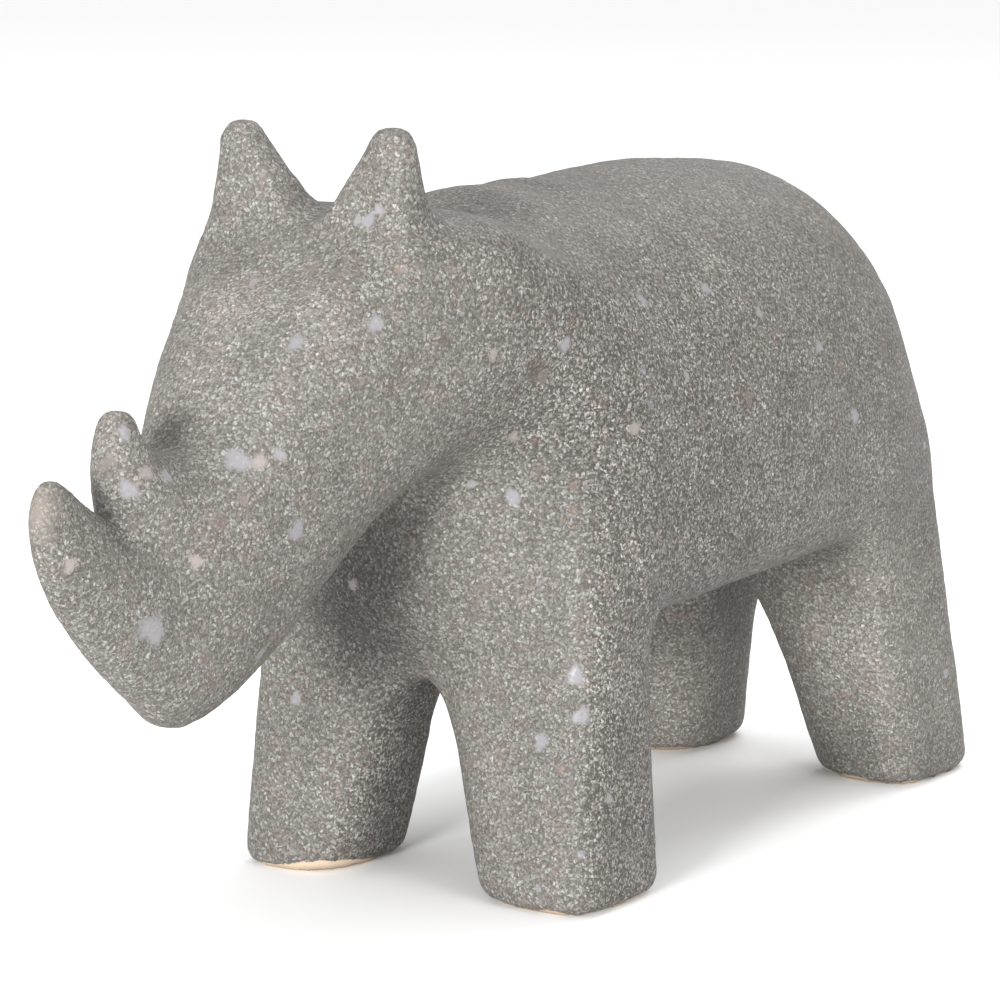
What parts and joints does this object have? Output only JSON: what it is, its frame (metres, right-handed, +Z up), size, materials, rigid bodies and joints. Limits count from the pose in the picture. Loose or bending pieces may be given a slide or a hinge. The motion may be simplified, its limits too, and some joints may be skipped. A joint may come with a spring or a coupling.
{
  "type": "rhinoceros figurine",
  "caption": "Standing rhinoceros ornament in one cast ceramic piece, with stout tapered legs, a lowered wedge head, upright ears and blunt horns.",
  "frame": {"origin": "middle of the figure's length and width, on the surface that its soles rest on", "axes": "+Z up; the head points along -Y and the rump along +Y; +X is the animal's left side"},
  "size_m": [0.0908, 0.2874, 0.1598],
  "materials": {
    "sandy_grey_glaze": "matte, coarse sandy reactive glaze over cream stoneware, bare at the feet"
  },
  "bodies": {
    "root": {"rhinoceros_figure": "sandy_grey_glaze"}
  },
  "joints": []
}
